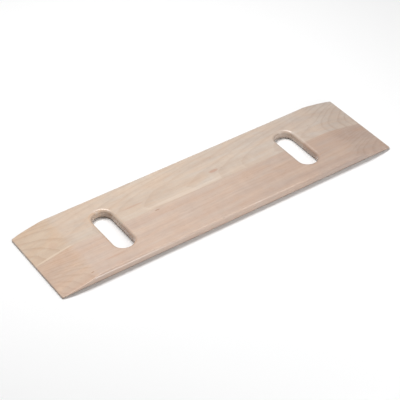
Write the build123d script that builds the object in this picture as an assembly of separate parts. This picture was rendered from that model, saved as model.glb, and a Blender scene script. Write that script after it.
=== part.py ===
from build123d import *
import os

# Transfer board of solid wood: two long staves glued edge to edge.
# Millimetres. X runs along the board, Y across it towards the rear stave, Z up.
# The origin is the middle of the flat underside.

# Overall board
LENGTH = 762.0
WIDTH = 203.2
THICKNESS = 19.05

# Tapered ends: the top slopes down to a thin tip, and the underside stays flat
TAPER_LENGTH = 80.0
TIP_THICKNESS = 4.3
CREASE_RADIUS = 120.0

# Long edges: a round-over along each face, the lower one larger, with a flat band between the two.
# Each one leaves the band smoothly and meets its face at a slight angle, which the arris eases.
TOP_ROUND_HEIGHT = 6.35
TOP_ROUND_REACH = 5.2
BOTTOM_ROUND_HEIGHT = 9.0
BOTTOM_ROUND_REACH = 7.6

# Corners seen from above, and the eased arrises round each face
CORNER_RADIUS = 6.0
TOP_ARRIS_RADIUS = 1.5
BOTTOM_ARRIS_RADIUS = 1.0

# Hand slots: round-ended openings that run across the board, their middle a little to the front
SLOT_WIDTH = 41.0
SLOT_LENGTH = 120.0
SLOT_FROM_END = 165.4
SLOT_Y = -1.6
SLOT_RIM_RADIUS = 6.35

# Glued joint between the staves, a little to the rear of the middle
JOINT_Y = 0.8
GLUE_FILM = 0.15

# Cutting tools reach this far past the wood
OVERSHOOT = 5.0
# Edges closer than this to a plane count as lying in it
NEAR = 0.01

HALF_LENGTH = LENGTH / 2
HALF_WIDTH = WIDTH / 2
TOP_EDGE_Y = HALF_WIDTH - TOP_ROUND_REACH
BOTTOM_EDGE_Y = HALF_WIDTH - BOTTOM_ROUND_REACH
SLOT_X = HALF_LENGTH - SLOT_FROM_END


def tapered_slab():
    """Slab with the side view of the board, square long edges and rounded corners."""
    crease_x = HALF_LENGTH - TAPER_LENGTH
    outline = Polyline(
        (-HALF_LENGTH, 0),
        (HALF_LENGTH, 0),
        (HALF_LENGTH, TIP_THICKNESS),
        (crease_x, THICKNESS),
        (-crease_x, THICKNESS),
        (-HALF_LENGTH, TIP_THICKNESS),
        close=True,
    )
    side_view = make_face(outline)
    creases = [corner for corner in side_view.vertices() if corner.Y > THICKNESS - NEAR]
    side_view = fillet(creases, CREASE_RADIUS)
    slab = extrude(Plane.XZ * side_view, HALF_WIDTH, both=True)
    return fillet(slab.edges().filter_by(Axis.Z), CORNER_RADIUS)


def edge_waste():
    """What the round-over cutters take off the long edge at +Y."""
    upper_flat = THICKNESS - TOP_ROUND_HEIGHT
    lower_flat = BOTTOM_ROUND_HEIGHT
    top_arc = TangentArc((HALF_WIDTH, upper_flat), (TOP_EDGE_Y, THICKNESS), tangent=(0, 1))
    flat_band = Line((HALF_WIDTH, upper_flat), (HALF_WIDTH, lower_flat))
    bottom_arc = TangentArc((HALF_WIDTH, lower_flat), (BOTTOM_EDGE_Y, 0), tangent=(0, -1))
    outside = Polyline(
        (BOTTOM_EDGE_Y, 0),
        (BOTTOM_EDGE_Y, -OVERSHOOT),
        (HALF_WIDTH + OVERSHOOT, -OVERSHOOT),
        (HALF_WIDTH + OVERSHOOT, THICKNESS + OVERSHOOT),
        (TOP_EDGE_Y, THICKNESS + OVERSHOOT),
        (TOP_EDGE_Y, THICKNESS),
    )
    section = make_face([top_arc, flat_band, bottom_arc, outside])
    return extrude(Plane.YZ * section, HALF_LENGTH + OVERSHOOT, both=True)


def slot_waste():
    """Both hand slots as upright prisms with full-round ends."""
    outline = Rot(0, 0, 90) * SlotOverall(SLOT_LENGTH, SLOT_WIDTH)
    prism = extrude(Pos(0, 0, -OVERSHOOT) * outline, THICKNESS + 2 * OVERSHOOT)
    return [Pos(x, SLOT_Y, 0) * prism for x in (-SLOT_X, SLOT_X)]


def lies_at(edge, height):
    """True for an edge that lies flat at this height."""
    return abs(edge.center().Z - height) < NEAR and abs((edge @ 0).Z - height) < NEAR


def is_slot_rim(edge):
    """True for the slots' edges in either face."""
    middle = edge.center()
    in_a_face = lies_at(edge, 0) or lies_at(edge, THICKNESS)
    near_slot = abs(abs(middle.X) - SLOT_X) < SLOT_WIDTH and abs(middle.Y) < SLOT_LENGTH
    return in_a_face and near_slot


def is_top_arris(edge):
    """True for the arris between the top and the long edges, or the top and an end."""
    middle = edge.center()
    beside_long_edge = abs(middle.Y) > TOP_EDGE_Y - NEAR and abs(middle.X) < HALF_LENGTH - CORNER_RADIUS
    across_end = abs(middle.X) > HALF_LENGTH - NEAR and lies_at(edge, TIP_THICKNESS)
    return across_end or (beside_long_edge and middle.Z > TIP_THICKNESS)


def is_bottom_arris(edge):
    """True for the underside's outline."""
    middle = edge.center()
    on_outline = abs(middle.Y) > BOTTOM_EDGE_Y - NEAR or abs(middle.X) > HALF_LENGTH - NEAR
    return lies_at(edge, 0) and on_outline


def board_blank():
    """The whole board in one piece, before it is divided into staves."""
    board = tapered_slab()
    waste = edge_waste()
    board = board - waste - mirror(waste, Plane.XZ)
    for slot in slot_waste():
        board = board - slot
    board = fillet(board.edges().filter_by(is_slot_rim), SLOT_RIM_RADIUS)
    board = fillet(board.edges().filter_by(is_top_arris), TOP_ARRIS_RADIUS)
    return fillet(board.edges().filter_by(is_bottom_arris), BOTTOM_ARRIS_RADIUS)


def joint_plane(y):
    """Upright plane along the board at this y, facing the rear stave."""
    return Plane(origin=(0, y, 0), x_dir=(1, 0, 0), z_dir=(0, 1, 0))


def divide(board):
    """The board as its rear stave, its front stave and the glue film between them."""
    behind = joint_plane(JOINT_Y + GLUE_FILM / 2)
    before = joint_plane(JOINT_Y - GLUE_FILM / 2)
    rear_stave = split(board, bisect_by=behind, keep=Keep.TOP)
    rest = split(board, bisect_by=behind, keep=Keep.BOTTOM)
    glue_line = split(rest, bisect_by=before, keep=Keep.TOP)
    front_stave = split(rest, bisect_by=before, keep=Keep.BOTTOM)
    return {"rear_stave": rear_stave, "front_stave": front_stave, "glue_line": glue_line}


os.makedirs("parts", exist_ok=True)
for name, piece in divide(board_blank()).items():
    export_step(piece, f"parts/{name}.step")
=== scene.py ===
import math

import bpy
from mathutils import Matrix, Vector

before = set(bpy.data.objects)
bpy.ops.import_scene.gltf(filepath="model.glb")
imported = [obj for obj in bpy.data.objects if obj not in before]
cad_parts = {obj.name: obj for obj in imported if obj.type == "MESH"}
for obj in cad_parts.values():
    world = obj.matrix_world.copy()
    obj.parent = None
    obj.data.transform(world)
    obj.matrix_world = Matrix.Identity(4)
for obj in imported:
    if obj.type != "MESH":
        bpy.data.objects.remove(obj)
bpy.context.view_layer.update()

MM = 0.001

# ---------------------------------------------------------------- studio sizes, in metres and watts
SHEET_REACH = 6.0
FLOOR_HEIGHT = -0.2 * MM
CARD_HEIGHT = -0.4 * MM
FLOOR_WHITE = 0.95
CARD_GREY = 0.5
SURROUND = 0.15

# Each softbox faces the middle of the board: its place, its width and height, and its power
SOFTBOXES = {
    "key": ((-0.12, 0.56, 1.76), (1.4, 0.8), 32.6),
    "low_fill": ((0.30, -1.85, 0.32), (0.5, 0.5), 13.0),
    "front_fill": ((-0.30, -1.75, 0.65), (0.5, 0.5), 2.0),
    "sheen": ((0.75, -1.03, 1.34), (0.4, 0.4), 4.5),
}

# The camera's direction, in degrees: the azimuth runs from +Y towards +X
VIEW_AZIMUTH = 32.224
VIEW_ELEVATION = 39.426
VIEW_ROLL = -2.315
VIEW_DISTANCE = 2.8505
AIM = Vector((-0.02182, -0.00888, 0.0))
SENSOR_MM = 36
LENS_MM = 131.29

# ---------------------------------------------------------------- the wood's figure
# Growth rings wander in long waves by RING_DRIFT and in short ones by RING_RIPPLE
RING_DRIFT = 8.0 * MM
RING_RIPPLE = 2.0 * MM
# Good and poor years differ in width, over a few years at a time
YEAR_SPREAD = 0.20
YEAR_RHYTHM = 1.7
# A little more latewood shows where the taper cuts across the rings
TAPER_LATEWOOD = 0.12
# How strongly the finer marks show in the colour
STREAK_SHARE = 0.13
FIBRE_SHARE = 0.13
FLECK_SHARE = 0.30
# How ragged the edge of a stain is
STAIN_RAGGEDNESS = 1.6
# Depth of the open grain under the lacquer
GRAIN_DEPTH = 0.05 * MM
GRAIN_STRENGTH = 0.6


def srgb(red, green, blue):
    """A colour given as 0-255 display values, in linear light."""
    def linear(value):
        value = value / 255
        return value / 12.92 if value <= 0.04045 else ((value + 0.055) / 1.055) ** 2.4
    return (linear(red), linear(green), linear(blue), 1.0)


BROWN = srgb(150, 104, 78)
PINK = srgb(190, 144, 122)
PALE = srgb(228, 212, 196)
FLECK = srgb(150, 108, 80)
UNTINTED = (1.0, 1.0, 1.0)

# A stave's tones are its pale, full and latewood colours.  Its pith is the y and z of the tree's
# middle under the middle of the board, which rises by slope along x, and ring is one year's growth.
# Towards the right end its colour is multiplied by right_tint_and_shade, which is partly the wood's own
# colour and partly painted shade and a painted grey sheen where the light falls off.  Its stains each
# have a place, a half size, a strength and a colour.  The seed moves the figure to a part of its own.
CREAM_MAPLE = {
    "tones": (srgb(216, 199, 182), srgb(209, 189, 171), srgb(180, 149, 126)),
    "pith": (13 * MM, -152.8 * MM),
    "slope": 0.064,
    "ring": 4.6 * MM,
    "latewood_share": 0.18,
    "right_tint_and_shade": (0.89, 0.915, 0.965),
    "stains": (
        ((0.038, 0.032), (0.012, 0.0045), 0.55, PINK),
        ((-0.152, 0.032), (0.030, 0.0030), 0.35, PINK),
        ((-0.330, 0.026), (0.011, 0.0120), 0.18, PINK),
        ((-0.040, 0.007), (0.110, 0.0060), 0.45, PALE),
        ((-0.345, 0.0035), (0.050, 0.0030), 0.60, PALE),
    ),
    "seed": 3.1,
}
PINK_MAPLE = {
    "tones": (srgb(212, 190, 173), srgb(204, 179, 162), srgb(172, 136, 115)),
    "pith": (-104 * MM, -110 * MM),
    "slope": 0.012,
    "ring": 3.4 * MM,
    "latewood_share": 0.09,
    "right_tint_and_shade": (0.85, 0.85, 0.865),
    "stains": (
        ((-0.117, -0.005), (0.006, 0.0014), 0.6, BROWN),
        ((-0.308, -0.085), (0.005, 0.0015), 0.6, BROWN),
        ((-0.250, -0.071), (0.030, 0.0016), 0.4, PINK),
    ),
    "seed": 7.7,
}


# ---------------------------------------------------------------- node helpers
class Graph:
    """A small wrapper that keeps material node code short."""

    def __init__(self, name):
        self.material = bpy.data.materials.new(name)
        self.material.use_nodes = True
        self.nodes = self.material.node_tree.nodes
        self.links = self.material.node_tree.links
        self.nodes.clear()
        self.shader = self.nodes.new("ShaderNodeBsdfPrincipled")
        output = self.nodes.new("ShaderNodeOutputMaterial")
        self.links.new(self.shader.outputs[0], output.inputs[0])

    def plug(self, socket, value):
        """Links an output to a socket, or sets a plain number or colour on it."""
        if isinstance(value, bpy.types.NodeSocket):
            self.links.new(value, socket)
        else:
            socket.default_value = value

    def surface(self, **values):
        """Plugs values into the shader's sockets, named with underscores for spaces."""
        for name, value in values.items():
            self.plug(self.shader.inputs[name.replace("_", " ")], value)

    def math(self, operation, a, b=0.0, c=0.0):
        node = self.nodes.new("ShaderNodeMath")
        node.operation = operation
        for socket, value in zip(node.inputs, (a, b, c)):
            self.plug(socket, value)
        return node.outputs[0]

    def add(self, a, b):
        return self.math("ADD", a, b)

    def subtract(self, a, b):
        return self.math("SUBTRACT", a, b)

    def multiply(self, a, b):
        return self.math("MULTIPLY", a, b)

    def multiply_add(self, a, b, c):
        return self.math("MULTIPLY_ADD", a, b, c)

    def square(self, value):
        return self.multiply(value, value)

    def ramp(self, value, low, high, to_low=0.0, to_high=1.0):
        """Smoothly maps low..high to to_low..to_high."""
        node = self.nodes.new("ShaderNodeMapRange")
        node.interpolation_type = "SMOOTHSTEP"
        for socket, number in zip(node.inputs, (value, low, high, to_low, to_high)):
            self.plug(socket, number)
        return node.outputs[0]

    def mix(self, factor, a, b, blend="MIX"):
        node = self.nodes.new("ShaderNodeMix")
        node.data_type = "RGBA"
        node.blend_type = blend
        self.plug(node.inputs[0], factor)
        self.plug(node.inputs[6], a)
        self.plug(node.inputs[7], b)
        return node.outputs[2]

    def tint(self, colour, factor, low, high):
        """The colour multiplied by a tint that goes from low to high with the factor."""
        return self.mix(1.0, colour, self.mix(factor, (*low, 1), (*high, 1)), "MULTIPLY")

    def vector(self, x, y, z):
        node = self.nodes.new("ShaderNodeCombineXYZ")
        for socket, value in zip(node.inputs, (x, y, z)):
            self.plug(socket, value)
        return node.outputs[0]

    def split(self, vector):
        """A vector's x, y and z."""
        node = self.nodes.new("ShaderNodeSeparateXYZ")
        self.links.new(vector, node.inputs[0])
        return node.outputs[0], node.outputs[1], node.outputs[2]

    def noise(self, vector, scale, detail, roughness, distortion=0.0):
        node = self.nodes.new("ShaderNodeTexNoise")
        self.links.new(vector, node.inputs["Vector"])
        node.inputs["Scale"].default_value = scale
        node.inputs["Detail"].default_value = detail
        node.inputs["Roughness"].default_value = roughness
        node.inputs["Distortion"].default_value = distortion
        return node.outputs["Fac"]

    def position(self):
        """Object position in metres."""
        return self.nodes.new("ShaderNodeTexCoord").outputs["Object"]

    def normal(self):
        return self.nodes.new("ShaderNodeNewGeometry").outputs["Normal"]

    def bump(self, height, distance, strength):
        node = self.nodes.new("ShaderNodeBump")
        node.inputs["Strength"].default_value = strength
        node.inputs["Distance"].default_value = distance
        self.links.new(height, node.inputs["Height"])
        return node.outputs[0]


# ---------------------------------------------------------------- maple
class Wood(Graph):
    """The graph of one stave's wood, whose grain runs along x."""

    def __init__(self, name, seed):
        super().__init__(name)
        self.seed = seed
        self.x, self.y, self.z = self.split(self.position())
        # How far the surface faces along the grain: 0 on a long face and 1 on an end
        facing = self.math("ABSOLUTE", self.split(self.normal())[0])
        self.on_end = self.ramp(facing, 0.7, 1.0)
        self.on_taper = self.multiply(self.ramp(facing, 0.05, 0.18), self.ramp(facing, 0.4, 0.25))

    def figure(self, along, across, upward, detail, roughness, distortion=0.0):
        """Noise with this many waves to the metre on each axis, at the stave's own place."""
        place = self.vector(
            self.multiply_add(self.x, along, self.seed),
            self.multiply_add(self.y, across, self.seed * 0.7),
            self.multiply_add(self.z, upward, self.seed * 1.3),
        )
        return self.noise(place, 1.0, detail, roughness, distortion)

    def latewood(self, pith, slope, ring):
        """How deep the surface is in a year's latewood, 0 to 1, in rings nested round the pith."""
        drift = self.figure(3.0, 12.0, 1.0, 3.0, 0.5)
        ripple = self.figure(14.0, 45.0, 1.0, 2.0, 0.5)
        depth = self.subtract(self.z, self.multiply_add(self.x, slope, pith[1]))
        aside = self.subtract(self.y, pith[0])
        radius = self.math("SQRT", self.add(self.square(depth), self.square(aside)))
        radius = self.multiply_add(self.subtract(drift, 0.5), RING_DRIFT, radius)
        radius = self.multiply_add(self.subtract(ripple, 0.5), RING_RIPPLE, radius)
        years = self.multiply(radius, 1 / ring)
        rhythm = self.math("SINE", self.multiply(years, YEAR_RHYTHM))
        year = self.math("FRACT", self.multiply_add(rhythm, YEAR_SPREAD, years))
        # It deepens through the year and ends where the next spring's wood starts
        return self.subtract(self.ramp(year, 0.55, 0.97), self.ramp(year, 0.97, 1.0))

    def stain(self, colour, streaks, place, half_size, strength, stain):
        """The colour with an oval stain on it, its edge drawn out along the grain."""
        away_x = self.math("DIVIDE", self.subtract(self.x, place[0]), half_size[0])
        away_y = self.math("DIVIDE", self.subtract(self.y, place[1]), half_size[1])
        away = self.add(self.square(away_x), self.square(away_y))
        away = self.multiply_add(self.subtract(streaks, 0.5), STAIN_RAGGEDNESS, away)
        return self.mix(self.ramp(away, 1.0, 0.2, 0.0, strength), colour, stain)


def maple(name, wood):
    """Lacquered maple: growth rings, bands, streaks, fibres, flecks, shimmer and stains."""
    g = Wood(name, wood["seed"])
    pale, full, dark = wood["tones"]

    rings = g.latewood(wood["pith"], wood["slope"], wood["ring"])
    bands = g.figure(2.2, 38.0, 25.0, 2.0, 0.55)
    warmth = g.figure(14.0, 48.0, 36.0, 3.0, 0.6, 0.5)
    streaks = g.figure(18.0, 220.0, 220.0, 3.0, 0.6)
    fibres = g.figure(60.0, 1500.0, 1500.0, 2.0, 0.6)
    shimmer = g.figure(48.0, 26.0, 26.0, 3.0, 0.55, 0.8)
    flecks = g.ramp(g.figure(110.0, 700.0, 700.0, 1.0, 0.5), 0.68, 0.78)

    rings_share = g.multiply_add(g.on_taper, TAPER_LATEWOOD, wood["latewood_share"])
    colour = g.mix(g.ramp(bands, 0.3, 0.7), pale, full)
    colour = g.mix(g.multiply(rings, rings_share), colour, dark)
    colour = g.mix(g.ramp(streaks, 0.35, 0.75, 0.0, STREAK_SHARE), colour, dark)
    colour = g.mix(g.ramp(fibres, 0.4, 0.8, 0.0, FIBRE_SHARE), colour, dark)
    colour = g.mix(g.multiply(flecks, FLECK_SHARE), colour, FLECK)
    colour = g.tint(colour, g.ramp(warmth, 0.3, 0.7), (0.975, 1.0, 1.025), (1.02, 0.98, 0.945))
    colour = g.tint(colour, g.ramp(shimmer, 0.3, 0.7), (0.975, 0.97, 0.968), (1.022, 1.024, 1.024))
    # Darker towards the right end: partly the wood's own colour, partly painted shade and sheen where
    # the light falls off
    colour = g.tint(colour, g.ramp(g.x, -0.15, 0.38), UNTINTED, wood["right_tint_and_shade"])
    for stain in wood["stains"]:
        colour = g.stain(colour, streaks, *stain)

    # The left taper is warmer.  Faces along the grain are darker: partly the end grain's own colour, as
    # it drinks the most lacquer, and partly painted shade on the board's ends and on the slot walls
    # that face along the grain
    left_taper = g.multiply(g.on_taper, g.ramp(g.x, 0.2, -0.2))
    colour = g.tint(colour, left_taper, UNTINTED, (1.03, 0.98, 0.912))
    colour = g.tint(colour, g.on_end, UNTINTED, (0.96, 0.87, 0.79))

    # Satin wood under a clear coat, rougher on end grain, with the flecks as slight hollows
    grain = g.multiply_add(fibres, 0.6, g.multiply(streaks, 0.4))
    grain = g.subtract(grain, g.multiply(flecks, 0.5))
    g.surface(
        Base_Color=colour,
        Roughness=g.multiply_add(g.on_end, 0.15, g.ramp(streaks, 0.3, 0.8, 0.40, 0.50)),
        Specular_IOR_Level=0.25,
        Coat_Weight=1.0,
        Coat_Roughness=0.24,
        Coat_IOR=1.5,
        Normal=g.bump(grain, GRAIN_DEPTH, GRAIN_STRENGTH),
    )
    return g.material


def glue():
    """Cured wood glue, amber and slightly glossy."""
    g = Graph("cured_glue")
    cloud = g.noise(g.position(), 300.0, 2.0, 0.5)
    g.surface(
        Base_Color=g.mix(cloud, srgb(176, 146, 112), srgb(196, 168, 134)),
        Roughness=g.ramp(cloud, 0.3, 0.7, 0.4, 0.55),
    )
    return g.material


def give(node, material):
    """Sets a CAD node's only material."""
    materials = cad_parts[node].data.materials
    materials.clear()
    materials.append(material)


# ---------------------------------------------------------------- the studio
def level_sheet(name, height, brightness):
    """A wide, matt, level sheet of one grey."""
    corners = [(x * SHEET_REACH, y * SHEET_REACH, 0) for x, y in ((-1, -1), (1, -1), (1, 1), (-1, 1))]
    mesh = bpy.data.meshes.new(name)
    mesh.from_pydata(corners, [], [(0, 1, 2, 3)])
    g = Graph(name)
    g.surface(Base_Color=(brightness, brightness, brightness, 1), Roughness=1.0, Specular_IOR_Level=0.0)
    mesh.materials.append(g.material)
    sheet = bpy.data.objects.new(name, mesh)
    bpy.context.scene.collection.objects.link(sheet)
    sheet.location.z = height
    return sheet


def floor():
    """A plain white floor just under the board, and a grey card under it that does the bouncing.

    The floor is exposed to white, so its own bounce would flatten the edges and the slot walls.
    """
    white = level_sheet("floor", FLOOR_HEIGHT, FLOOR_WHITE)
    white.visible_diffuse = False
    white.visible_shadow = False
    card = level_sheet("bounce_card", CARD_HEIGHT, CARD_GREY)
    card.visible_camera = False
    card.visible_glossy = False
    card.visible_shadow = False


def softbox(name, place, size, power):
    """A rectangular area light at place that faces the middle of the board."""
    data = bpy.data.lights.new(name, "AREA")
    data.shape = "RECTANGLE"
    data.size, data.size_y = size
    data.energy = power
    lamp = bpy.data.objects.new(name, data)
    bpy.context.scene.collection.objects.link(lamp)
    lamp.location = place
    lamp.rotation_euler = (-Vector(place)).to_track_quat("-Z", "Y").to_euler()


def studio():
    """A large softbox above and slightly behind the board, small ones in front, a dim surround."""
    world = bpy.data.worlds.new("studio")
    bpy.context.scene.world = world
    world.use_nodes = True
    background = world.node_tree.nodes["Background"]
    background.inputs["Color"].default_value = (1, 1, 1, 1)
    background.inputs["Strength"].default_value = SURROUND
    for name, (place, size, power) in SOFTBOXES.items():
        softbox(name, place, size, power)


def camera():
    """A long lens that looks down on the board from its front left."""
    azimuth, elevation, roll = (math.radians(a) for a in (VIEW_AZIMUTH, VIEW_ELEVATION, VIEW_ROLL))
    ahead = Vector((
        math.sin(azimuth) * math.cos(elevation),
        math.cos(azimuth) * math.cos(elevation),
        -math.sin(elevation),
    ))
    right = Vector((math.cos(azimuth), -math.sin(azimuth), 0))
    up = right.cross(ahead)
    turned_right = right * math.cos(roll) + up * math.sin(roll)
    turned_up = up * math.cos(roll) - right * math.sin(roll)
    data = bpy.data.cameras.new("camera")
    data.sensor_width = SENSOR_MM
    data.lens = LENS_MM
    eye = bpy.data.objects.new("camera", data)
    bpy.context.scene.collection.objects.link(eye)
    pose = Matrix((turned_right, turned_up, -ahead)).transposed().to_4x4()
    pose.translation = AIM - ahead * VIEW_DISTANCE
    eye.matrix_world = pose
    bpy.context.scene.camera = eye


def clear_defaults():
    """Removes the start-up cube, lamp and camera."""
    for name in ("Cube", "Light", "Camera"):
        thing = bpy.data.objects.get(name)
        if thing is not None:
            bpy.data.objects.remove(thing)


# ---------------------------------------------------------------- the scene
clear_defaults()
floor()
studio()
camera()
bpy.context.scene.view_settings.view_transform = "Standard"
bpy.context.scene.view_settings.look = "None"

give("rear_stave", maple("cream_maple", CREAM_MAPLE))
give("front_stave", maple("pink_maple", PINK_MAPLE))
give("glue_line", glue())
